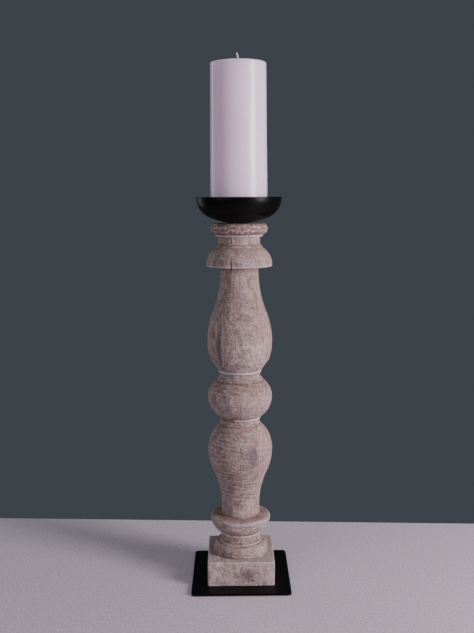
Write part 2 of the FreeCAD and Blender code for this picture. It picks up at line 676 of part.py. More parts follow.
makeBoards(makePost())
makePlate()
makeScrews()
makeFeltFeet()
makeInsert()
makeBowl()
makeWasher()
makePricket()
makeCandle()
makeWick()
doc.recompute()
checkDocument()
writeParts()
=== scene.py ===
import bpy
import math
import mathutils
import numpy as np
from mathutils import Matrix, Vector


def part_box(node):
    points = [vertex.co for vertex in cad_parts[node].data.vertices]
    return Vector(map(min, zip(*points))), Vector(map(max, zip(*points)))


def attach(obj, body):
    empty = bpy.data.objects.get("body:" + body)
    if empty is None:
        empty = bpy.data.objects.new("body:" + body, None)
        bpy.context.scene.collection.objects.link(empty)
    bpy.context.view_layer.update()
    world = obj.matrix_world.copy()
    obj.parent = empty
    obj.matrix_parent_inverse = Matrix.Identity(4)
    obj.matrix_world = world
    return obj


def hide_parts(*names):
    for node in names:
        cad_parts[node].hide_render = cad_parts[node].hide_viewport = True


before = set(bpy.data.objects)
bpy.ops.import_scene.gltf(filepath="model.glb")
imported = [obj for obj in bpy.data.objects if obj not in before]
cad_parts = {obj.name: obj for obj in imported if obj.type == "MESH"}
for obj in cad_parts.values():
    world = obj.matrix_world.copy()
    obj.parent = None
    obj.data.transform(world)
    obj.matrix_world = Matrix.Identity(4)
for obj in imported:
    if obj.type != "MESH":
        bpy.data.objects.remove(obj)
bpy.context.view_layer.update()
mm = 0.001
turn = 2 * math.pi
print("frame loaded:", len(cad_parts), "nodes")


# noise, outlines and meshes that several pieces share

latticeSize = 48
noiseLattice = np.random.default_rng(11).random((latticeSize,) * 3) * 2 - 1


def softNoise(x, y, z):
    # smooth noise from -1 to 1: random values on a wrapped unit lattice, blended by eased fractions
    cells = []
    for value in (x, y, z):
        low = np.floor(value)
        share = value - low
        cells.append((low.astype(int), share * share * (3 - 2 * share)))
    total = 0.0
    for corner in range(8):
        weight = 1.0
        index = []
        for axis, (low, share) in enumerate(cells):
            bit = (corner >> axis) & 1
            weight = weight * (share if bit else 1 - share)
            index.append((low + bit) % latticeSize)
        total = total + weight * noiseLattice[tuple(index)]
    return total


def roughNoise(x, y, z, octaves=3):
    # octaves of soft noise, each half as wide and half as strong as the last
    return sum(softNoise(x * 2 ** i, y * 2 ** i, z * 2 ** i) / 2 ** i for i in range(octaves)) / 1.5


def bump(distance, width):
    # a bell curve: 1 at no distance, fading over the width
    return np.exp(-(distance / width) ** 2)


def fadeBetween(value, low, high, edge):
    # 1 between low and high, falling to 0 over the edge outside them
    return np.clip((value - low) / edge + 1, 0, 1) * np.clip((high - value) / edge + 1, 0, 1)


def levelCentre(start, end, height):
    # radius of the centre at the given height that is as far from one point as from the other
    (r0, z0), (r1, z1) = start, end
    return (r0 * r0 - r1 * r1 + (z0 - height) ** 2 - (z1 - height) ** 2) / (2 * (r0 - r1))


def walkOutline(steps, spacing):
    # A chain of straight lines and arcs as two arrays, radius and height. "out" leaves with its centre level
    # with the start, "in" arrives with its centre level with the end, "dome" turns about the axis, and "flow"
    # is tangent to the arc before it.
    radii, heights = [steps[0][1]], [steps[0][2]]
    centre = None
    for i, (kind, r1, z1) in enumerate(steps[1:], start=1):
        r0, z0 = steps[i - 1][1:]
        if kind == "line":
            count = max(2, int(math.hypot(r1 - r0, z1 - z0) / spacing))
            share = np.linspace(0, 1, count + 1)[1:]
            radii.extend(r0 + (r1 - r0) * share)
            heights.extend(z0 + (z1 - z0) * share)
            continue
        if kind == "flow":
            reach = math.hypot(centre[0] - r0, centre[1] - z0)
            ur, uz = (centre[0] - r0) / reach, (centre[1] - z0) / reach
            dr, dz = r0 - r1, z0 - z1
            scale = -(dr * dr + dz * dz) / (2 * (dr * ur + dz * uz))
            centre = (r0 + scale * ur, z0 + scale * uz)
        elif kind == "dome":
            centre = (0.0, levelCentre((z0, r0), (z1, r1), 0.0))
        else:
            level = z0 if kind == "out" else z1
            centre = (levelCentre((r0, z0), (r1, z1), level), level)
        first = math.atan2(z0 - centre[1], r0 - centre[0])
        swing = math.atan2(z1 - centre[1], r1 - centre[0]) - first
        swing = (swing + math.pi) % turn - math.pi
        reach = math.hypot(r0 - centre[0], z0 - centre[1])
        count = max(3, int(abs(swing) * reach / spacing))
        angle = first + swing * np.linspace(0, 1, count + 1)[1:]
        radii.extend(centre[0] + reach * np.cos(angle))
        heights.extend(centre[1] + reach * np.sin(angle))
    return np.array(radii), np.array(heights)


def blur(values, sigma):
    # weighted running mean of evenly spaced values, the ends held
    reach = int(4 * sigma) + 1
    kernel = np.exp(-0.5 * (np.arange(-reach, reach + 1) / sigma) ** 2)
    padded = np.concatenate([np.full(reach, values[0]), values, np.full(reach, values[-1])])
    return np.convolve(padded, kernel / kernel.sum(), "valid")


def evenRuns(r, z, spacing):
    # the same chain with its points an even distance apart
    reach = np.concatenate([[0], np.cumsum(np.hypot(np.diff(r), np.diff(z)))])
    steps = np.linspace(0, reach[-1], int(reach[-1] / spacing) + 1)
    return np.interp(steps, reach, r), np.interp(steps, reach, z)


def crowdRows(r, z, coarse, fine):
    # row numbers, as fractions, that lie close together where the chain bends and further apart where it runs
    heading = np.unwrap(np.arctan2(np.gradient(z), np.gradient(r)))
    step = np.hypot(np.gradient(r), np.gradient(z))
    bend = blur(np.abs(np.gradient(heading)) / step, 3)
    weight = step * np.clip(bend * 2.2, 1 / coarse, 1 / fine)
    total = np.concatenate([[0], np.cumsum(weight)[:-1]])
    return np.interp(np.linspace(0, total[-1], int(total[-1]) + 1), total, np.arange(len(r)))


def makeMesh(name, points, faces, body, material, replaced, marks=None):
    # points (n, 3) in metres and faces become a smooth-shaded object that rides on its body
    mesh = bpy.data.meshes.new(name)
    mesh.from_pydata(points.tolist(), [], faces)
    mesh.update()
    mesh.shade_smooth()
    for key, values in (marks or {}).items():
        layer = mesh.attributes.new(key, "FLOAT", "POINT")
        layer.data.foreach_set("value", np.ascontiguousarray(values, dtype=np.float32).ravel())
    piece = bpy.data.objects.new(name, mesh)
    bpy.context.scene.collection.objects.link(piece)
    piece.data.materials.append(material)
    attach(piece, body)
    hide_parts(*replaced)
    return piece


def gridFaces(rows, columns, closedRows=False):
    # quads over a grid whose columns wrap round; rows wrap too when the outline is a closed ring
    row = np.arange(rows if closedRows else rows - 1)[:, None]
    column = np.arange(columns)[None, :]
    nextRow, nextColumn = (row + 1) % rows, (column + 1) % columns
    corners = [row * columns + column, row * columns + nextColumn,
               nextRow * columns + nextColumn, nextRow * columns + column]
    return np.stack(corners, -1).reshape(-1, 4).tolist()


def ringSurface(r, z, segments):
    # swings radius and height round the axis: x = r sin a, y = -r cos a, with rows up the outline
    angle = np.linspace(0, turn, segments, endpoint=False)[None, :]
    r, z = r[:, None], z[:, None]
    return r * np.sin(angle), -r * np.cos(angle), z + 0 * angle


# shader helpers

class Shade:
    # one output socket; arithmetic on it adds Math nodes, so 1 - mask reads as it looks
    def __init__(self, recipe, socket):
        self.recipe, self.socket = recipe, socket

    def sum(self, operation, first, second):
        return self.recipe.node("ShaderNodeMath", {"operation": operation}, {0: first, 1: second})

    def __add__(self, other):
        return self.sum("ADD", self, other)

    def __radd__(self, other):
        return self.sum("ADD", other, self)

    def __sub__(self, other):
        return self.sum("SUBTRACT", self, other)

    def __rsub__(self, other):
        return self.sum("SUBTRACT", other, self)

    def __mul__(self, other):
        return self.sum("MULTIPLY", self, other)

    def __rmul__(self, other):
        return self.sum("MULTIPLY", other, self)

    def __truediv__(self, other):
        return self.sum("DIVIDE", self, other)

    def __pow__(self, other):
        return self.sum("POWER", self, other)

    def step(self, low, high):
        # 0 below low, 1 above high, eased between them
        return self.recipe.node("ShaderNodeMapRange", {"interpolation_type": "SMOOTHSTEP"},
                                {"Value": self, "From Min": low, "From Max": high})

    def clip(self):
        return self.recipe.node("ShaderNodeMath", {"operation": "ADD", "use_clamp": True}, {0: self, 1: 0.0})


class Recipe:
    # one material being mixed
    def __init__(self, name, **constants):
        self.material = bpy.data.materials.new(name)
        self.material.use_nodes = True
        self.tree = self.material.node_tree
        self.shader = self.tree.nodes["Principled BSDF"]
        for key, value in constants.items():
            self.shader.inputs[key.replace("_", " ")].default_value = value
        self.place = self.node("ShaderNodeTexCoord", output="Object")

    def node(self, kind, settings=None, sockets=None, output=0):
        # adds a node: its settings first, then a value or link for each socket; ramps take a list of stops
        added = self.tree.nodes.new(kind)
        for key, value in (settings or {}).items():
            if key == "stops":
                elements = added.color_ramp.elements
                while len(elements) < len(value):
                    elements.new(1.0)
                for element, (position, colour) in zip(elements, value):
                    element.position, element.color = position, (*colour, 1)
            else:
                setattr(added, key, value)
        for key, value in (sockets or {}).items():
            if isinstance(value, Shade):
                self.tree.links.new(value.socket, added.inputs[key])
            else:
                added.inputs[key].default_value = value
        return Shade(self, added.outputs[output])

    def feed(self, key, value):
        self.tree.links.new(value.socket, self.shader.inputs[key])

    def stretched(self, x, y, z):
        # the place on the object in millimetres, squeezed along each axis
        return self.node("ShaderNodeMapping", {}, {"Vector": self.place, "Scale": (x / mm, y / mm, z / mm)})

    def noise(self, vector, scale=1.0, detail=3.0, roughness=0.55, distortion=0.0):
        return self.node("ShaderNodeTexNoise", {}, {"Vector": vector, "Scale": scale, "Detail": detail,
                                                    "Roughness": roughness, "Distortion": distortion})

    def wave(self, phase):
        # a sine of the phase, between 0 and 1
        return self.node("ShaderNodeMath", {"operation": "SINE"}, {0: phase}) * 0.5 + 0.5

    def mark(self, name):
        # a value stored on the mesh's points
        return self.node("ShaderNodeAttribute", {"attribute_name": name}, output="Fac")

    def blend(self, share, first, second):
        # a colour between two; the share is a number or a field
        pick = [(*c, 1) if isinstance(c, tuple) else c for c in (first, second)]
        return self.node("ShaderNodeMix", {"data_type": "RGBA"}, {0: share, 6: pick[0], 7: pick[1]}, output=2)

    def ramp(self, value, stops):
        return self.node("ShaderNodeValToRGB", {"stops": stops}, {"Fac": value})

    def relief(self, height, strength, distance):
        # a bump in metres that feeds the shader's normal
        self.feed("Normal", self.node("ShaderNodeBump", {}, {"Strength": strength, "Distance": distance,
                                                             "Height": height}))


# the post: four boards glued side by side, then turned

post = {
    "coarse": 1.05, "fine": 0.26,          # mm between rows, on long curves and in tight corners
    "softening": 4.0,                      # how far corners are sanded round, in tenths of a millimetre
    "seam": 22.25,                         # mm from the middle to the outer glue lines
    "seamDepth": 0.22, "seamWidth": 0.5,   # mm
    "dent": 0.16, "ripple": 0.06, "grain": 0.05, "chip": 0.55,   # mm of each kind of unevenness
    "plinthHalf": 44.25, "plinthCorner": 2.0, "plinthEdge": 1.4, "plinthFoot": 0.5, "plinthTop": 31.5,
    "sideColumns": 92, "faceColumns": 30, "seamColumns": 5, "lidRows": 8,
    # lowest and highest point of the filler in the left glue line, the chipped bead, the pale strokes on the
    # front of the upper vase, and the veins of the crown ring
    "filled": (291, 357), "chipped": (213.5, 218), "stroked": (286, 318), "veined": (461.5, 477),
}

turned = [
    # base ring
    ("line", 35.4, 31.5), ("line", 35.4, 32.4), ("line", 36.6, 33.0), ("line", 36.6, 35.2),
    ("line", 36.2, 36.4), ("out", 30.5, 46.2), ("line", 28.6, 46.25), ("line", 28.6, 47.8),
    # low neck and cup
    ("line", 26.6, 49.0), ("line", 26.6, 57.6), ("line", 28.9, 58.3), ("line", 28.9, 60.0),
    ("line", 28.3, 60.05), ("in", 40.0, 78.4), ("out", 37.6, 81.6), ("line", 26.6, 83.4),
    # lower vase
    ("line", 26.6, 84.2), ("line", 25.4, 84.8), ("line", 25.4, 94.8), ("out", 36.08, 141.4),
    ("in", 43.2, 172.4), ("out", 28.8, 205.4), ("line", 28.0, 205.45), ("line", 28.0, 206.8),
    ("line", 26.4, 208.4), ("line", 26.4, 213.8),
    # ball
    ("line", 27.9, 214.9), ("line", 27.9, 216.75), ("line", 27.6, 216.8), ("in", 43.1, 243.6),
    ("out", 32.4, 265.2), ("line", 31.4, 265.25), ("line", 31.4, 265.9), ("line", 31.2, 267.0),
    ("line", 27.2, 271.2), ("line", 27.2, 276.1),
    # upper vase
    ("line", 29.0, 277.5), ("line", 29.0, 279.85), ("line", 28.8, 279.9), ("line", 39.1, 293.4),
    ("in", 43.5, 318.6), ("out", 35.99, 358.1), ("in", 25.6, 412.7), ("line", 26.0, 418.8),
    # bell
    ("line", 43.2, 418.85), ("line", 44.0, 419.6), ("line", 44.0, 421.3), ("out", 30.9, 444.4),
    ("line", 30.7, 444.9), ("line", 30.7, 446.2), ("line", 27.9, 449.4), ("line", 27.9, 458.6),
    # crown ring
    ("line", 31.5, 459.2), ("line", 31.5, 461.0), ("line", 32.4, 461.05), ("in", 38.1, 469.0),
    ("out", 34.2, 476.2),
]

# drying checks: direction they face in degrees, mm off its middle, lowest and highest height, width, depth
checks = [
    (0, -11.3, 417, 432, 0.7, 0.9), (0, -11.0, 446, 458, 0.5, 0.3), (0, -10.6, 270, 276, 0.5, 0.3),
    (90, 4.0, 150, 196, 0.6, 0.7), (90, -9.0, 330, 372, 0.6, 0.5), (200, 3.0, 96, 150, 0.6, 0.7),
    (180, -7.0, 296, 340, 0.7, 0.8), (250, 6.0, 228, 258, 0.6, 0.6), (300, -4.0, 4, 29, 0.7, 0.6),
    (20, 2.0, 452, 473, 0.5, 0.4), (150, -6.0, 424, 441, 0.6, 0.6),
]

# small knot holes: direction they face in degrees, height, radius, depth
knots = [(-28, 360, 0.9, 0.7), (1, 425, 0.9, 0.8), (18, 6.8, 1.6, 1.0), (-64, 331, 1.3, 1.0),
         (133, 176, 1.9, 1.3), (214, 309, 1.5, 1.2), (76, 251, 1.2, 0.9), (-118, 150, 1.6, 1.2)]

# how much more (or less) liming is left, and how red the wood shows, by height
paleness = [(0, 0.55), (31, 0.42), (34, -0.02), (58, 0.10), (62, 0.0), (80, 0.02), (82, -0.12), (84, 0.08),
            (100, 0.06), (150, -0.08), (196, 0.0), (212, 0.10), (240, 0.0), (255, -0.20), (266, -0.16),
            (270, 0.08), (300, 0.04), (330, -0.04), (370, -0.10), (405, 0.0), (440, 0.02), (444, -0.10),
            (452, 0.16), (458, 0.16), (463, 0.18), (476, 0.12)]
redness = [(0, 0.2), (82, 0.0), (84, 0.8), (86, 0.2), (150, 0.35), (206, 0.5), (215, 0.1), (240, 0.5),
           (262, 0.1), (280, 0.2), (370, 0.25), (440, 0.1), (458, 0.1), (463, 0.62), (476, 0.6)]

# how much painted shade darkens the middle boards of the front, by height
glazed = [(0, 0.0), (80, 0.05), (100, 0.08), (140, 0.16), (200, 0.16), (240, 0.12), (300, 0.16), (340, 0.15),
          (400, 0.08), (440, 0.08), (460, 0.0)]

# pale bands on the bead edges, partly worn liming and partly painted highlight, and dark lines in the
# quirks and under the beads, partly glaze and partly painted shade: height, half width in mm, strength
paleLines = [(460.1, 0.95, 1.0), (420.2, 0.8, 0.55), (278.7, 1.25, 1.0), (215.8, 0.95, 1.0),
             (59.2, 0.95, 1.0), (47.1, 0.7, 0.4), (80.0, 1.4, 0.2), (31.5, 0.9, 0.25)]
darkLines = [(461.3, 0.5, 0.8), (447.9, 0.75, 0.8), (418.6, 0.6, 0.9), (276.6, 0.5, 0.5), (265.8, 0.75, 1.0),
             (260.5, 1.6, 0.35), (217.7, 0.6, 0.8), (214.1, 0.45, 0.5), (206.3, 0.7, 1.0), (84.1, 1.2, 1.0),
             (82.6, 1.0, 0.35), (60.5, 0.6, 0.9), (50.9, 0.4, 0.5), (48.7, 0.6, 0.9), (46.0, 0.5, 0.6),
             (32.0, 0.6, 0.8)]

# grey-violet stains: direction they face in degrees, height, half width, half height
# the stain facing -40 degrees at 310 mm is partly stain and partly painted shade beside the left glue line
stainsAndShade = [(24, 169, 9, 18), (-40, 310, 3.5, 24), (10, 14, 12, 10), (140, 300, 9, 16), (230, 170, 8, 14),
          (300, 60, 7, 8)]

# bleached and reddish patches of the liming, given in the same way
bleached = [(10, 426, 10, 6), (14, 230, 10, 11), (24, 299, 7, 13), (20, 158, 9, 10),
            (-30, 188, 12, 8), (170, 390, 10, 20), (220, 240, 10, 10), (110, 130, 9, 18)]
reddened = [(36, 436, 7, 6), (42, 250, 8, 13), (44, 180, 9, 26), (40, 330, 8, 28), (-40, 300, 7, 18),
            (150, 180, 10, 20), (250, 340, 9, 24)]

# middles of curly grain: direction they face, height
curls = [(6, 157), (7, 112), (-38, 386), (112, 168), (150, 330), (205, 135), (248, 318), (285, 412),
         (60, 240)]


def postRows():
    # Rows up the post: disc radius, plinth half width, share of square, height, and how deep in a groove or
    # how far out on an edge each one is. The plinth's rows come first, then its flat top, then the turning.
    half, edge, top = post["plinthHalf"], post["plinthEdge"], post["plinthTop"]
    lowEdge, lidRows = post["plinthFoot"], post["lidRows"]
    bend, lowBend = np.linspace(0, math.pi / 2, 7), np.linspace(0, math.pi / 2, 4)
    sideZ = np.arange(lowEdge, top - edge, 0.85)[1:]
    half0 = np.concatenate([half - lowEdge * (1 - np.sin(lowBend)), np.full(len(sideZ), half),
                            half - edge * (1 - np.cos(bend)), np.full(lidRows, half - edge)])
    z0 = np.concatenate([lowEdge * (1 - np.cos(lowBend)), sideZ, top - edge * (1 - np.sin(bend)),
                         np.full(lidRows, top)])
    square0 = np.concatenate([np.ones(len(z0) - lidRows), np.linspace(1, 0, lidRows + 1)[1:]])
    r, z = evenRuns(*walkOutline(turned, 0.1), 0.1)
    groove = np.clip((blur(r, 13) - r) / 1.5, 0, 1)
    ridge = np.clip((r - blur(r, 12)) / 0.75, 0, 1)
    r, z = blur(r, post["softening"]), np.maximum.accumulate(blur(z, post["softening"]))
    pick = crowdRows(r, z, post["coarse"], post["fine"])
    at = np.arange(len(r))
    r, z, groove, ridge = (np.interp(pick, at, row) for row in (r, z, groove, ridge))
    flat = len(z0)
    # the plinth's top edge counts as an edge: it chips, and its pale is partly painted highlight
    edgeWearAndHighlight = np.where(square0 < 1, 0, bump(z0 - top, 1.6))
    rows = [np.concatenate([np.full(flat, r[0]), r]), np.concatenate([half0, np.full(len(r), half - edge)]),
            np.concatenate([square0, np.zeros(len(r))]), np.concatenate([z0, z]),
            # on the plinth's top, a value that rises toward the ring and darkens it there: partly glaze,
            # partly painted shade round the ring's foot
            np.concatenate([np.where(square0 < 1, 0.25 * (1 - square0), 0), groove]),
            np.concatenate([edgeWearAndHighlight, ridge])]
    rows[3] = rows[3] + np.arange(len(rows[3])) * 2e-5   # always a little higher than the row below
    return rows


def crowdEnds(count):
    # 0 to 1 with the steps close together at both ends
    even = np.linspace(-1, 1, count)
    eased = even * (1.45 - 0.45 * even * even)
    return (eased / eased[-1] + 1) / 2


def plinthSide(share, a):
    # the square's edge from the front seam round one side to the rear seam, with rounded corners
    half, corner = post["plinthHalf"], post["plinthCorner"]
    arc = np.linspace(0, math.pi / 2, 9)
    bendX, bendY = half - corner * (1 - np.sin(arc)), -half + corner * (1 - np.cos(arc))
    x = np.concatenate([[a], bendX, bendX[::-1], [a]])
    y = np.concatenate([[-half], bendY, -bendY[::-1], [half]])
    reach = np.concatenate([[0], np.cumsum(np.hypot(np.diff(x), np.diff(y)))])
    return np.interp(share * reach[-1], reach, x), np.interp(share * reach[-1], reach, y)


def boardSurface(outer):
    # Grid of a right-hand board. Its columns run round the board's section: the turned face, then the seam.
    # A point of the turned face is r (sin a, -cos a), its angle shared out between the two seams, and on the
    # plinth it slides over to the square with the same share of the way round.
    r, half, square, z, groove, ridge = [row[:, None] for row in postRows()]
    seam = post["seam"]
    flatShare = np.linspace(0, 1, post["seamColumns"] + 2)[1:-1][None, :]

    def face(share, low, high, back):
        # the part of the section between two upright planes, at the front or the back; without a high
        # plane it runs right round the side
        first = np.arcsin(low / r)
        last = np.arcsin(np.minimum(high / r, 1)) if high else math.pi - first
        angle = first + (last - first) * share
        x, y = r * np.sin(angle), -r * np.cos(angle)
        if high:
            sx, sy = low + (high - low) * share + 0 * r, -half + 0 * share
        else:
            sx, sy = plinthSide(share, low)
            sx = low + (sx - low) * (half - low) / (post["plinthHalf"] - low)
            sy = sy * half / post["plinthHalf"]
        x, y = x + (sx - x) * square, y + (sy - y) * square
        return (x, -y) if back else (x, y)

    if outer:
        share = crowdEnds(post["sideColumns"])[None, :]
        fx, fy = face(share, seam, None, False)
        seamY = fy[:, -1:] + (fy[:, :1] - fy[:, -1:]) * flatShare
        parts = [(fx, fy, True), (fx[:, -1:] + 0 * flatShare, seamY, False)]
    else:
        share = crowdEnds(post["faceColumns"])[None, :]
        fx, fy = face(share, 0.0, seam, False)
        bx, by = face(share[:, ::-1], 0.0, seam, True)
        parts = [(fx, fy, True), (fx[:, -1:] + 0 * flatShare, fy[:, -1:] * (1 - 2 * flatShare), False),
                 (bx, by, True), (0 * bx[:, -1:] + 0 * flatShare, by[:, -1:] * (1 - 2 * flatShare), False)]
    x = np.concatenate([part[0] for part in parts], 1)
    y = np.concatenate([part[1] for part in parts], 1)
    turnedFace = np.concatenate([np.full(part[0].shape[1], part[2]) for part in parts])
    return x, y, z + 0 * x, turnedFace, groove + 0 * x, ridge + 0 * x


def faceNormals(x, y, z, turnedFace):
    # outward directions of the turned face, from the cross product of its slopes along rows and columns
    starts = np.flatnonzero(np.diff(np.concatenate([[False], turnedFace, [False]]).astype(int)))
    normals = np.zeros((3,) + x.shape)
    for first, last in zip(starts[::2], starts[1::2]):
        grid = np.stack([axis[:, first:last] for axis in (x, y, z)])
        up, along = np.gradient(grid, axis=1), np.gradient(grid, axis=2)
        cross = np.cross(along, up, axis=0)
        cross /= np.linalg.norm(cross, axis=0) + 1e-9
        cross[0][:, [0, -1]] = 0.0   # edges stay in the plane of their seam
        normals[:, :, first:last] = cross
    return normals


def aroundFrom(facing, x, y):
    # mm round the post from the line that faces the given way in degrees
    aside = np.arctan2(x, -y) - math.radians(facing)
    return np.hypot(x, y) * np.angle(np.exp(1j * aside))


def patchesAt(places, x, y, z):
    # soft ovals on the surface: 1 in the middle of each, fading outwards
    value = np.zeros_like(x)
    for facing, height, width, tall in places:
        away = np.hypot(aroundFrom(facing, x, y) / width, (z - height) / tall)
        value = np.maximum(value, np.clip(1.6 * bump(away, 0.75), 0, 1))
    return value


def cutSplits(push, x, y, z):
    # the push with drying checks and knot holes cut into it, and how much of a split each point is
    split = np.zeros_like(x)
    for facing, offset, low, high, width, depth in checks:
        facing = math.radians(facing)
        across = x * math.cos(facing) + y * math.sin(facing) - offset
        across = across - 0.7 * softNoise(z / 9, offset, facing)
        near = (x * math.sin(facing) - y * math.cos(facing) > 0) * fadeBetween(z, low, high, 5.0)
        line = bump(across, width) * near * np.clip(0.75 + 0.6 * softNoise(z / 4, offset + 7, facing), 0, 1)
        push, split = push - depth * line, np.maximum(split, line)
    for facing, height, radius, depth in knots:
        away = np.hypot(aroundFrom(facing, x, y), (z - height) * 0.9)
        hole = bump(np.maximum(away - radius * 0.35, 0), radius * 0.55)
        push, split = push - depth * hole, np.maximum(split, hole)
    return push, split


def curlReachOf(x, y, z):
    # distance in mm from the nearest middle of curly grain, and never more than the furthest
    furthest = 40.0
    reach = np.full(x.shape, furthest)
    for facing, height in curls:
        reach = np.minimum(reach, np.hypot(aroundFrom(facing, x, y) * 1.1, (z - height) * 0.85))
    return reach


def linesAt(lines, z):
    # level lines round the post, each as strong as it says in its middle and fading up and down
    return sum(bump(z - height, width) * strength for height, width, strength in lines)


def wearOf(x, y, z, groove, ridge, seed):
    # how far out the surface is pushed, in mm, and the marks that the finish reads
    push = post["dent"] * roughNoise(x / 21, y / 21, z / 30, 2)
    push = push + post["ripple"] * softNoise(x / 6 + 9, y / 6, z / 7)
    push = push + post["grain"] * softNoise(x / 1.9, y / 1.9 + 5, z / 26)
    chips = np.clip(roughNoise(x / 5.5 + 3, y / 5.5, z / 6.5) - 0.08, 0, 1)
    push, split = cutSplits(push - post["chip"] * ridge * chips, x, y, z)
    fromSeam = np.minimum(np.abs(np.abs(x) - post["seam"]), np.abs(x))
    patchy = np.clip(0.55 + 0.9 * softNoise(z / 23, seed, x / 40), 0, 1)
    seamLine = bump(fromSeam, post["seamWidth"]) * patchy
    push = push - post["seamDepth"] * seamLine
    front = fadeBetween(-y, 2, 400, 2)
    filled = bump(x + post["seam"] + 0.45 * softNoise(z / 8, 1, 0 * z), 0.95)
    filled = filled * front * fadeBetween(z, *post["filled"], 5)
    filled = filled * np.clip(0.85 + 0.5 * softNoise(z / 7, 3, 0 * z), 0, 1)
    broken = fadeBetween(-x, 9.5, 400, 1.5) * front * fadeBetween(z, *post["chipped"], 1)
    push = push - 1.2 * broken * (0.8 + 0.3 * softNoise(x / 4, y / 4, z / 3))
    uneven = np.clip(0.8 + 0.5 * roughNoise(x / 9, y / 9 + 7, z / 9), 0, 1.2)
    # pale: liming on the edges, partly worn and partly painted highlight
    pale = np.clip(0.12 * ridge + linesAt(paleLines, z) * uneven * (1 - broken), 0, 1)
    # dark: brown in the grooves and quirks, partly glaze and partly painted shade, and bare wood on the
    # chipped bead
    dark = np.clip(0.2 * groove + linesAt(darkLines, z) * uneven + 0.5 * broken, 0, 1)
    paler = np.interp(z, *zip(*paleness)) - 0.16 * broken
    redder = np.clip(np.interp(z, *zip(*redness)) + 0.35 * np.clip(x / 30, -1, 1) * (z > 100), 0, 1)
    combed = fadeBetween(z, 112, 196, 12) * (0.7 - x / 26) * front
    combed = combed + 0.3 * fadeBetween(z, 332, 392, 10) * (x > -6)
    combed = combed + 0.45 * fadeBetween(z, 35, 83, 2) + 0.3 * fadeBetween(z, 219, 264, 4)
    combed = np.clip(combed + 0.7 * softNoise(x / 45, y / 45, z / 60), 0, 1)
    paler = paler + 0.3 * patchesAt(bleached, x, y, z)
    redder = np.clip(redder + 0.6 * patchesAt(reddened, x, y, z), 0, 1)
    # painted shade over the middle of the front
    middleShadeMask = np.interp(z, *zip(*glazed)) * bump(x + 1, 24) * front
    stroked = fadeBetween(z, *post["stroked"], 8) * fadeBetween(x, -14, 30, 6) * front
    return push, {
        "split": split, "groove": dark, "ridge": pale, "seamLine": seamLine * (1 - filled), "filled": filled,
        "paler": paler, "redder": redder, "combed": combed, "curlReach": curlReachOf(x, y, z),
        "stained": patchesAt(stainsAndShade, x, y, z), "veined": fadeBetween(z, *post["veined"], 1),
        "stroked": stroked, "glazed": middleShadeMask,
    }


def closeEnds(points, rows, columns):
    # the grid's faces, with each end closed by shrinking rings and a fan to the middle of the section
    faces = gridFaces(rows, columns)
    column = np.arange(columns)
    following = (column + 1) % columns
    for edgeRow, upward in ((0, False), (rows - 1, True)):
        ring = points[edgeRow * columns:(edgeRow + 1) * columns]
        middle = ring.mean(0)
        before = edgeRow * columns + column
        for shrink in (0.93, 0.72, 0.45, 0.2):
            fresh = len(points) + column
            points = np.concatenate([points, middle + (ring - middle) * shrink])
            quads = np.stack([before, before[following], fresh[following], fresh], 1)
            faces.extend((quads if upward else quads[:, ::-1]).tolist())
            before = fresh
        points = np.concatenate([points, [middle]])
        fan = np.stack([before, before[following], np.full(columns, len(points) - 1)], 1)
        faces.extend((fan if upward else fan[:, ::-1]).tolist())
    return points, faces


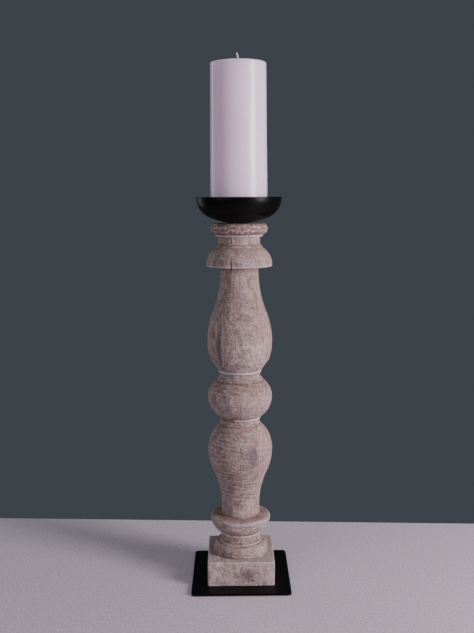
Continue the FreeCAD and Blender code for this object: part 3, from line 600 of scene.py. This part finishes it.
def limedWood(name, pith, tone, washAndLight, seed):
    # Turned timber under worn white liming. Growth rings circle a pith line beside the board, fibres run up
    # it, turning marks run round it and curly grain winds round small knots. The liming is rubbed thin over
    # all of them and lies thick in cracks. The pale on the edges is partly worn liming and partly painted
    # highlight, the brown in the grooves is partly glaze and partly painted shade, and the middle of the
    # front carries painted shade.
    wood = Recipe(name, Specular_IOR_Level=0.3)
    fibre = wood.noise(wood.stretched(0.62, 0.62, 0.022), 1.0, 6.0, 0.68, 0.3)
    fine = wood.noise(wood.stretched(2.3, 2.3, 0.3), 1.0, 3.0, 0.7)
    mottle = wood.noise(wood.stretched(1.15, 1.15, 0.75), 1.0, 5.0, 0.78, 0.8)
    cloud = wood.noise(wood.stretched(0.034, 0.034, 0.024), 1.0, 3.0, 0.55, 0.5)
    patch = wood.noise(wood.stretched(0.15, 0.15, 0.09), 1.0, 4.0, 0.65, 0.9)
    hue = wood.noise(wood.stretched(0.075, 0.075, 0.05), 1.0, 3.0, 0.6, 0.8)
    tilted = wood.node("ShaderNodeMapping", {}, {"Vector": wood.place, "Rotation": (0.0, -0.13, 0.0)})
    lathe = wood.noise(wood.node("ShaderNodeMapping", {}, {"Vector": tilted, "Scale": (20, 20, 820)}),
                       1.0, 4.0, 0.75, 0.25)
    centred = wood.node("ShaderNodeMapping", {}, {"Vector": wood.place, "Location": (-pith[0], -pith[1], 0),
                                                  "Rotation": (pith[2], 0, 0), "Scale": (1 / mm,) * 3})
    flat = wood.node("ShaderNodeSeparateXYZ", {}, {"Vector": centred})
    sideways = wood.node("ShaderNodeSeparateXYZ", {}, {"Vector": centred}, output=1)
    reach = (flat * flat + sideways * sideways) ** 0.5
    ring = wood.wave(reach * 1.15 + cloud * 14.0 + patch * 2.0 + seed) ** 1.6
    curlReach = wood.mark("curlReach")
    curl = (wood.wave(curlReach * 2.6 + mottle * 3.5) - 0.5) * (1 - curlReach / 11.0).clip()
    shake = wood.node("ShaderNodeTexNoise", {}, {"Vector": wood.stretched(0.3, 0.3, 0.2), "Scale": 1.0,
                                                 "Detail": 4.0}, output=1)
    shaken = wood.node("ShaderNodeVectorMath", {"operation": "ADD"}, {0: wood.stretched(0.36, 0.36, 0.17),
                                                                      1: shake})
    crack = wood.node("ShaderNodeTexVoronoi", {"feature": "DISTANCE_TO_EDGE"}, {"Vector": shaken,
                                                                                "Scale": 1.6})
    crack = (1 - crack.step(0.015, 0.10)) * (patch * 0.6 + hue * 0.7 + mottle * 0.5).step(0.86, 1.06)
    height = wood.node("ShaderNodeSeparateXYZ", {}, {"Vector": wood.stretched(1.0, 1.0, 1.0)}, output=2)
    swept = wood.wave(height * 1.15 + flat * 0.11 + cloud * 16.0 + hue * 15.0 + patch * 6.0 + fibre * 2.0)
    vein = wood.wave(height * 1.1 + hue * 20.0 + patch * 10.0) ** 2.5
    dots = wood.noise(wood.stretched(0.85, 0.85, 0.30), 1.0, 3.0, 0.6, 0.6)
    pits, flecks = dots.step(0.57, 0.66), 1 - dots.step(0.35, 0.43)
    stroke = wood.noise(wood.stretched(0.62, 0.62, 0.11), 1.0, 3.0, 0.6, 0.7).step(0.52, 0.59)
    split, groove, ridge = wood.mark("split"), wood.mark("groove"), wood.mark("ridge")
    glue, filled, redder = wood.mark("seamLine"), wood.mark("filled"), wood.mark("redder")
    combs, veined, stroked = wood.mark("combed"), wood.mark("veined"), wood.mark("stroked")
    toolLines = (lathe - 0.5) * (0.7 + combs * 2.2)
    pores = fine.step(0.6, 0.7)
    red = (redder * 0.85 + (hue - 0.5) * 3.0).clip()
    grain = (fibre * 0.42 + ring * 0.2 + mottle * 0.42 + fine * 0.14 + curl * 0.25).clip()
    brown = wood.ramp(grain, [(0.36, (0.110 * tone, 0.068 * tone, 0.047 * tone)),
                              (0.53, (0.280 * tone, 0.190 * tone, 0.140 * tone)),
                              (0.70, (0.43 * tone, 0.315 * tone, 0.245 * tone))])
    russet = wood.ramp(grain, [(0.34, (0.115 * tone, 0.052 * tone, 0.042 * tone)),
                               (0.54, (0.29 * tone, 0.155 * tone, 0.128 * tone)),
                               (0.74, (0.44 * tone, 0.285 * tone, 0.245 * tone))])
    timber = wood.blend(red, brown, russet)
    chalk = mottle * 0.5 + patch * 0.4 + fine * 0.1
    lilac = wood.ramp(chalk, [(0.41, (0.29, 0.212, 0.212)), (0.51, (0.475, 0.36, 0.362)),
                              (0.61, (0.75, 0.61, 0.62))])
    salmon = wood.ramp(chalk, [(0.41, (0.35, 0.215, 0.20)), (0.51, (0.55, 0.355, 0.335)),
                               (0.61, (0.79, 0.585, 0.57))])
    liming = wood.blend((red * 0.9).clip(), lilac, salmon)
    cover = washAndLight + wood.mark("paler") + (patch - 0.5) * 0.9 + (fibre - 0.5) * 1.3 + (cloud - 0.5) * 1.1
    cover = cover + (mottle - 0.5) * 4.7 + toolLines * 1.9 + curl * 1.2 - ring * 0.2 - pores * 0.6
    # less liming in the grooves and more on the edges: partly glaze and wear, partly painted shade and
    # highlight
    cover = (cover - groove * 0.6 + ridge * 0.6).clip()
    colour = wood.blend(cover, timber, liming)
    overlays = [   # laid one over the other: where each shows, how strongly, and its colour
        (crack, 0.75, (0.72, 0.625, 0.65)),
        (swept ** 4.0 * combs * (patch * 3.0 - 0.9), 0.6, (0.155, 0.103, 0.09)),
        ((1 - swept) ** 5.0 * combs * (hue * 3.0 - 0.9), 0.4, (0.76, 0.66, 0.675)),
        (stroke * stroked, 0.7, (0.72, 0.61, 0.62)),
        (vein * veined * (fibre * 4.0 - 1.1), 0.95, (0.10, 0.026, 0.03)),
        (pits * (1.45 - patch), 0.62, (0.165, 0.108, 0.095)),
        (flecks * (0.5 + patch), 0.5, (0.79, 0.675, 0.69)),
        # stains, one of them partly painted shade beside the left glue line
        (wood.mark("stained") * (2.3 - mottle * 2.4), 0.66, (0.10, 0.07, 0.084)),
        # pale edges: partly liming, partly painted highlight
        (ridge * (0.55 + cover), 0.85, (0.80, 0.72, 0.745)),
        # brown in the grooves: partly glaze, partly painted shade
        (groove * (1.25 - patch * 0.7), 0.72, (0.16, 0.080, 0.058)),
        (filled * (patch * 2.6 - 0.55), 0.75, (0.74, 0.65, 0.67)),
        (glue * (0.62 - patch) * 3.0, 1.0, (0.12, 0.070, 0.055)),
        (split * 1.3, 0.85, (0.040, 0.024, 0.018)),
        # painted shade over the middle of the front
        (wood.mark("glazed"), 1.0, (0.02, 0.012, 0.008)),
    ]
    for where, strength, tint in overlays:
        colour = wood.blend(where.clip() * strength, colour, tint)
    wood.feed("Base Color", colour)
    wood.feed("Roughness", (0.66 + (patch - 0.5) * 0.3 + groove * 0.12 - ridge * 0.1).clip())
    surface = fibre * 0.45 + fine * 0.4 + mottle * 0.8 - pores * 0.5 + cover * 0.25
    wood.relief(surface + toolLines * 0.7 + crack * 0.3, 0.8, 0.0006)
    return wood.material


def makeBoards():
    # whether it is an outer board, whether it is the mirrored one of its pair, pith line (metres across and
    # back, and its tilt), brightness of bare wood, how much liming shows, and where its noise starts. The
    # left boards are darker and the right outer board shows most liming: partly their own tones, partly
    # painted shade on the left and painted light on the right, where the key lamp falls.
    boards = {
        "left_outer_board": (True, True, (-0.062, 0.020, 0.10), 0.82, 0.38, 2.0),
        "left_inner_board": (False, True, (-0.034, -0.090, -0.08), 0.90, 0.35, 4.4),
        "right_inner_board": (False, False, (0.050, 0.105, 0.07), 0.93, 0.36, 0.7),
        "right_outer_board": (True, False, (0.018, -0.066, -0.12), 1.02, 0.55, 5.6),
    }
    for name, (outer, turnedRound, pith, tone, washAndLight, seed) in boards.items():
        x, y, z, turnedFace, groove, ridge = boardSurface(outer)
        if turnedRound:
            x, y = -x, -y
        normals = faceNormals(x, y, z, turnedFace)
        push, marks = wearOf(x, y, z, groove, ridge, seed)
        push = push * turnedFace[None, :]
        points = np.stack([x, y, z], -1) + np.moveaxis(normals * push, 0, -1)
        rows, columns = x.shape
        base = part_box(name)[0].z / mm
        points, faces = closeEnds(points.reshape(-1, 3), rows, columns)
        points[:, 2] += base
        spare = len(points) - rows * columns
        marks = {key: np.concatenate([value.ravel(), np.zeros(spare)]) for key, value in marks.items()}
        makeMesh("limed_" + name, points * mm, faces, "holder",
                 limedWood(name + "_finish", pith, tone, washAndLight, seed), [name], marks)
        print("board:", name, rows, "rows by", columns)


# the bowl

bowl = {
    "foot": 12.0, "hip": (40.0, 7.63), "rim": 56.8, "depth": 34.3, "wall": 1.5, "hole": 3.3,
    "innerHip": (39.4, 9.0), "segments": 176, "ripple": 0.035, "ripplePitch": 2.6,
}


def blackPaint(name, roughness, speck):
    # satin black paint on steel: faint orange peel, a little dust, and rubbed spots that shine more
    paint = Recipe(name, Specular_IOR_Level=0.12)
    peel = paint.noise(paint.stretched(0.9, 0.9, 0.9), 1.0, 2.0, 0.5)
    rub = paint.noise(paint.stretched(0.05, 0.05, 0.05), 1.0, 4.0, 0.6)
    dust = paint.noise(paint.stretched(1.7, 1.7, 1.7), 1.0, 2.0, 0.6).step(0.66, 0.8)
    colour = paint.blend(rub.step(0.3, 0.75), (0.0016, 0.0015, 0.0017), (0.0034, 0.0032, 0.0036))
    paint.feed("Base Color", paint.blend(dust * speck, colour, (0.03, 0.028, 0.029)))
    paint.feed("Roughness", (roughness + (rub - 0.5) * 0.22 + dust * 0.2).clip())
    paint.relief(peel, 0.12, 0.0002)
    return paint.material


def makeBowl():
    # A closed outline, up the outside, round the rim and down the inside, swung round the axis. Spinning
    # marks are a ripple of the outline along its own length.
    wall, rim, depth = bowl["wall"], bowl["rim"], bowl["depth"]
    lip = wall / 2
    outer = walkOutline([("line", bowl["hole"], 0), ("line", bowl["foot"], 0), ("dome", *bowl["hip"]),
                         ("flow", rim, depth - lip)], 0.8)
    bend = np.linspace(0, math.pi, 13)[1:-1]
    inner = walkOutline([("line", bowl["hole"], wall), ("line", bowl["foot"], wall),
                         ("dome", *bowl["innerHip"]), ("flow", rim - wall, depth - lip)], 0.8)
    r = np.concatenate([outer[0], rim - lip + lip * np.cos(bend), inner[0][::-1]])
    z = np.concatenate([outer[1], depth - lip + lip * np.sin(bend), inner[1][::-1]])
    reach = np.cumsum(np.hypot(np.diff(r, prepend=r[0]), np.diff(z, prepend=z[0])))
    z = z + bowl["ripple"] * np.sin(turn * reach / bowl["ripplePitch"]) * (r > bowl["foot"]) * (z < depth - 3)
    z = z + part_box("candle_bowl")[0].z / mm
    points = np.stack(ringSurface(r, z, bowl["segments"]), -1)
    rows, columns = points.shape[:2]
    makeMesh("spun_bowl", points.reshape(-1, 3) * mm, gridFaces(rows, columns, True), "holder",
             blackPaint("bowl_paint", 0.36, 0.10), ["candle_bowl"])
    print("bowl:", rows, "rows by", columns)


# the candle and its wick

candle = {
    "footFlat": 37.4, "foot": 38.0, "bevel": 0.6, "top": 37.0, "height": 201.0, "rounding": 0.8,
    "spikeHole": (3.5, 1.3, 30.0), "wickHole": 1.15, "dish": 0.7, "segments": 168,
    "sway": 0.14, "dimple": 0.05,
}


def candleWax():
    # pale wax: light goes a little way in, the skin is smooth with faint cloudy bloom and handling marks
    wax = Recipe("candle_wax_skin", Specular_IOR_Level=0.5, Subsurface_Weight=0.9, Subsurface_Scale=0.026,
                 Subsurface_Radius=(1.0, 0.75, 0.68), IOR=1.44)
    bloom = wax.noise(wax.stretched(0.035, 0.035, 0.02), 1.0, 4.0, 0.55, 0.3)
    skin = wax.noise(wax.stretched(0.35, 0.35, 0.25), 1.0, 4.0, 0.6)
    grain = wax.noise(wax.stretched(2.2, 2.2, 2.2), 1.0, 2.0, 0.5)
    wax.feed("Base Color", wax.blend(bloom.step(0.3, 0.7), (0.95, 0.70, 0.97), (0.99, 0.745, 1.0)))
    wax.feed("Roughness", (0.25 + (skin - 0.5) * 0.10).clip())
    wax.relief(skin * 0.7 + grain * 0.3, 0.10, 0.0006)
    return wax.material


def makeCandle():
    # A closed outline from the spike's hole round the foot, up the side, over the top and down the wick's
    # hole, swung round the axis; the side sways in and out by smooth noise.
    holeFoot, holeTip, holeDepth = candle["spikeHole"]
    height, rounding, top = candle["height"], candle["rounding"], candle["top"]
    edge = np.linspace(0, math.pi / 2, 8)
    side = np.linspace(candle["bevel"], height - rounding, 110)
    sideR = candle["foot"] + (top - candle["foot"]) * side / height
    lidR = np.linspace(top - rounding, candle["wickHole"], 26)[1:]
    lidZ = height - candle["dish"] * (1 - (lidR / (top - rounding)) ** 2) ** 1.5 + 0.9 * bump(lidR, 2.4)
    holeZ = np.linspace(lidZ[-1], holeDepth, 12)[1:]
    spikeR, spikeZ = np.linspace(holeTip, holeFoot, 8), np.linspace(holeDepth, 0, 8)
    footR = np.linspace(holeFoot, candle["footFlat"], 14)[1:]
    r = np.concatenate([spikeR, footR, sideR, top - rounding * (1 - np.cos(edge))[1:], lidR,
                        np.full(len(holeZ), candle["wickHole"])])
    z = np.concatenate([spikeZ, 0 * footR, side, height - rounding * (1 - np.sin(edge))[1:], lidZ, holeZ])
    x, y, z = ringSurface(r, z, candle["segments"])
    push = candle["sway"] * softNoise(x / 30, y / 30 + 4, z / 55)
    push = push + candle["dimple"] * softNoise(x / 7, y / 7, z / 9)
    push = np.where(np.hypot(x, y) > top - rounding - 1, push - candle["sway"], 0)
    out = 1 + push / np.maximum(np.hypot(x, y), 1)
    points = np.stack([x * out, y * out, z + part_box("candle_wax")[0].z / mm], -1)
    rows, columns = x.shape
    makeMesh("pillar_candle", points.reshape(-1, 3) * mm, gridFaces(rows, columns, True), "candle",
             candleWax(), ["candle_wax"])
    print("candle:", rows, "rows by", columns)


wick = {
    "radius": 0.92, "plait": 0.15, "strands": 3, "pitch": 5.5,
    "straight": 171.5, "lean": 2.4, "length": 183.4,   # mm up to the bend, to the left and up to the tip
    "cord": 182.6, "closer": 8, "segments": 36,        # mm along the path, mm of closer rows under the bend
}


def cottonWick():
    # waxed cotton, off-white, greyer between the strands
    cotton = Recipe("waxed_cotton", Specular_IOR_Level=0.35, Sheen_Weight=0.2)
    thread = cotton.noise(cotton.stretched(5.0, 5.0, 1.6), 1.0, 4.0, 0.6)
    cotton.feed("Base Color", cotton.ramp(thread, [(0.3, (0.52, 0.49, 0.46)), (0.65, (0.84, 0.81, 0.80))]))
    cotton.feed("Roughness", (0.62 + (thread - 0.5) * 0.3).clip())
    cotton.relief(thread, 0.5, 0.0002)
    return cotton.material


def makeWick():
    # A plaited cord along its path: straight in the wax, then a bend to the left. The radius rises over two
    # sets of strands that wind opposite ways: the greater of cos(3a + s) and cos(3a - s).
    straight, lean = wick["straight"], wick["lean"]
    closer = straight - wick["closer"]
    bendRadius = (lean ** 2 + (wick["length"] - straight) ** 2) / (2 * lean)
    along = np.concatenate([np.linspace(0, closer, 60), np.linspace(closer, wick["cord"], 90)[1:]])
    past = np.maximum(along - straight, 0) / bendRadius
    pathX = -bendRadius * (1 - np.cos(past))
    pathZ = np.minimum(along, straight) + bendRadius * np.sin(past)
    angle = np.linspace(0, turn, wick["segments"], endpoint=False)[None, :]
    wind = (turn * along / wick["pitch"])[:, None]
    strands = np.maximum(np.cos(wick["strands"] * angle + wind), np.cos(wick["strands"] * angle - wind))
    radius = wick["radius"] + wick["plait"] * strands * (0.8 + 0.2 * softNoise(angle, wind / 4, 0 * wind))
    across, depth = radius * np.sin(angle), -radius * np.cos(angle)
    x = pathX[:, None] + across * np.cos(past)[:, None]
    z = pathZ[:, None] + across * np.sin(past)[:, None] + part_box("candle_wick")[0].z / mm
    points = np.stack([x, depth, z], -1)
    rows, columns = x.shape
    points, faces = closeEnds(points.reshape(-1, 3), rows, columns)
    makeMesh("plaited_wick", points * mm, faces, "candle", cottonWick(), ["candle_wick"])
    print("wick:", rows, "rows by", columns)


# felt feet

felt = {"radius": 9.0, "height": 1.0, "pole": 3.0, "fuzz": 0.05, "segments": 96}


def blackFelt():
    # pressed black felt: matted fibres, lighter where lint has caught
    cloth = Recipe("pressed_felt", Specular_IOR_Level=0.15, Sheen_Weight=0.4, Sheen_Roughness=0.6)
    fibres = cloth.noise(cloth.stretched(2.4, 2.4, 2.4), 1.0, 5.0, 0.7, 1.2)
    lint = cloth.noise(cloth.stretched(0.6, 0.6, 0.6), 1.0, 4.0, 0.7, 2.0).step(0.62, 0.75)
    tone = cloth.ramp(fibres, [(0.3, (0.012, 0.012, 0.013)), (0.7, (0.045, 0.045, 0.048))])
    cloth.feed("Base Color", cloth.blend(lint * 0.5, tone, (0.16, 0.155, 0.15)))
    cloth.feed("Roughness", (0.9 + (fibres - 0.5) * 0.15).clip())
    cloth.relief(fibres, 0.7, 0.0003)
    return cloth.material


def makeFeltFeet():
    # a disc whose outline is an outer half round and two flats, roughened by noise, poles closed by fans
    cloth = blackFelt()
    for name in sorted(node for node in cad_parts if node.startswith("felt_foot_")):
        low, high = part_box(name)
        cx, cy = (low.x + high.x) / 2 / mm, (low.y + high.y) / 2 / mm
        bend = np.linspace(-math.pi / 2, math.pi / 2, 9)
        half = felt["height"] / 2
        flat = np.linspace(felt["pole"], felt["radius"] - half, 8)[:-1]
        r = np.concatenate([flat, felt["radius"] - half + half * np.cos(bend), flat[::-1]])
        z = np.concatenate([0 * flat, half + half * np.sin(bend), 0 * flat + felt["height"]])
        x, y, z = ringSurface(r, z, felt["segments"])
        fuzz = felt["fuzz"] * np.abs(roughNoise((x + cx) / 0.9, (y + cy) / 0.9, z / 0.9))
        out = 1 - fuzz / np.maximum(np.hypot(x, y), 1)
        z = z + fuzz * np.where(z > half, -1, 1)
        points = np.stack([x * out + cx, y * out + cy, z + low.z / mm], -1)
        rows, columns = x.shape
        points, faces = closeEnds(points.reshape(-1, 3), rows, columns)
        makeMesh(name.replace("felt_foot", "felt_disc"), points * mm, faces, "holder", cloth, [name])
    print("felt feet made")


# finishes of the pieces that keep their CAD shape

def turnedMetal(name, colour, roughness, pitch):
    # machined metal: fine tool rings up the axis, slight tarnish in patches
    metal = Recipe(name, Metallic=1.0)
    tarnish = metal.noise(metal.stretched(0.25, 0.25, 0.25), 1.0, 4.0, 0.6)
    rings = metal.noise(metal.stretched(0.02, 0.02, pitch), 1.0, 2.0, 0.5)
    metal.feed("Base Color", metal.blend(tarnish.step(0.35, 0.8), colour, tuple(c * 0.62 for c in colour)))
    metal.feed("Roughness", (roughness + (tarnish - 0.5) * 0.3 + (rings - 0.5) * 0.2).clip())
    metal.relief(rings, 0.25, 0.0001)
    return metal.material


def finishCadPieces():
    plate = blackPaint("plate_paint", 0.42, 0.16)
    zinc = turnedMetal("zinc_plate", (0.62, 0.62, 0.64), 0.34, 3.0)
    steel = turnedMetal("turned_steel", (0.46, 0.46, 0.47), 0.30, 4.0)
    brass = turnedMetal("aged_brass", (0.16, 0.115, 0.055), 0.42, 4.0)
    finishes = {"base_plate": plate, "plate_screws": zinc, "pricket_washer": zinc, "pricket_spike": steel,
                "threaded_insert": brass}
    for name, material in finishes.items():
        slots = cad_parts[name].data.materials
        slots.clear()
        slots.append(material)
    print("CAD pieces finished:", ", ".join(finishes))


# table top, lights and camera

studio = {
    "table": (0.80, -0.75, 0.2225, 0.1405, 0.02),   # metres: half width, front, back left, back right, thick
    "camera": (0.00470, 1.0823, 0.5134),   # to the left of, in front of and above the origin
    "pitch": 3.87, "heading": 0.096, "roll": 0.34, "yaw": 0.29, "lens": 46.22, "shift": -0.10,
    "surround": (0.053, 0.063, 0.075),
}

# each lamp's place, what it faces, its width and height in metres, power and colour
lamps = {
    "key_softbox": ((1.26, -0.72, 0.60), (0, 0, 0.40), (0.42, 0.9), 31.0, (1.0, 0.915, 0.97)),
    "left_edge_strip": ((-0.95, 0.75, 0.55), (0, 0, 0.40), (0.25, 0.9), 1.5, (0.95, 0.95, 1.0)),
    "overhead": ((0.1, -0.2, 1.9), (0, 0, 0.1), (1.2, 1.2), 5.3, (1.0, 0.94, 1.0)),
    "front_fill": ((-1.2, -1.3, 0.8), (0, 0, 0.40), (1.2, 1.2), 8.5, (1.0, 0.93, 0.98)),
}


def makeTable():
    # a pale cloth-covered top, level with the object's feet
    halfWidth, front, backLeft, backRight, thickness = studio["table"]
    cloth = Recipe("pale_cloth", Specular_IOR_Level=0.2)
    weave = cloth.noise(cloth.stretched(0.42, 0.30, 0.5), 1.0, 5.0, 0.75)
    fold = cloth.noise(cloth.stretched(0.012, 0.012, 0.012), 1.0, 3.0, 0.5)
    cloth.feed("Base Color", cloth.blend(weave.step(0.38, 0.62), (0.52, 0.452, 0.52), (0.705, 0.632, 0.71)))
    cloth.feed("Roughness", (0.85 + (fold - 0.5) * 0.1).clip())
    cloth.relief(weave, 0.35, 0.0012)
    columns, rows = 9, 7
    x, share = np.meshgrid(np.linspace(-halfWidth, halfWidth, columns), np.linspace(0, 1, rows))
    back = backLeft + (backRight - backLeft) * (x + halfWidth) / (2 * halfWidth)
    y = front + (back - front) * share
    points = np.stack([x, y, 0 * x], -1).reshape(-1, 3)
    points = np.concatenate([points, points - (0, 0, thickness)])
    mesh = bpy.data.meshes.new("table_top")
    number, below = np.arange(rows * columns).reshape(rows, columns), rows * columns
    quads = np.stack([number[:-1, :-1], number[:-1, 1:], number[1:, 1:], number[1:, :-1]], -1).reshape(-1, 4)
    rim = np.concatenate([number[0], number[1:, -1], number[-1, -2::-1], number[-2:0:-1, 0]])
    after = np.roll(rim, -1)
    walls = np.stack([rim, rim + below, after + below, after], -1)
    mesh.from_pydata(points.tolist(), [], quads.tolist() + (quads[:, ::-1] + below).tolist() + walls.tolist())
    table = bpy.data.objects.new("table_top", mesh)
    bpy.context.scene.collection.objects.link(table)
    table.data.materials.append(cloth.material)


def makeLight(name, place, target, size, power, colour):
    # a soft rectangular lamp at its place, facing the target
    lamp = bpy.data.lights.new(name, "AREA")
    lamp.shape, lamp.size, lamp.size_y = "RECTANGLE", *size
    lamp.energy, lamp.color = power, colour
    light = bpy.data.objects.new(name, lamp)
    bpy.context.scene.collection.objects.link(light)
    direction = [b - a for a, b in zip(place, target)]
    level = math.hypot(direction[0], direction[1])
    light.location = place
    light.rotation_euler = (math.pi / 2 + math.atan2(direction[2], level), 0,
                            math.atan2(-direction[0], direction[1]))


def makeStudio():
    makeTable()
    for name, settings in lamps.items():
        makeLight(name, *settings)
    world = bpy.data.worlds.new("surround")
    world.use_nodes = True
    backdrop = world.node_tree.nodes["Background"]
    backdrop.inputs["Color"].default_value = (*studio["surround"], 1)
    bpy.context.scene.world = world
    lens = bpy.data.cameras.new("portrait")
    lens.lens, lens.sensor_width, lens.shift_y = studio["lens"], 36.0, studio["shift"]
    camera = bpy.data.objects.new("portrait", lens)
    bpy.context.scene.collection.objects.link(camera)
    left, back, up = studio["camera"]
    yaw = math.radians(studio["yaw"])
    camera.location = (-left * math.cos(yaw) - back * math.sin(yaw),
                       left * math.sin(yaw) - back * math.cos(yaw), up)
    tilt = mathutils.Euler((math.radians(90 - studio["pitch"]), 0, -yaw)).to_matrix()
    twist = mathutils.Euler((0, -math.radians(studio["heading"]), -math.radians(studio["roll"]))).to_matrix()
    camera.rotation_euler = (tilt @ twist).to_euler()
    bpy.context.scene.camera = camera
    print("table, lights and camera placed")


makeStudio()
makeBoards()
makeBowl()
makeCandle()
makeWick()
makeFeltFeet()
finishCadPieces()
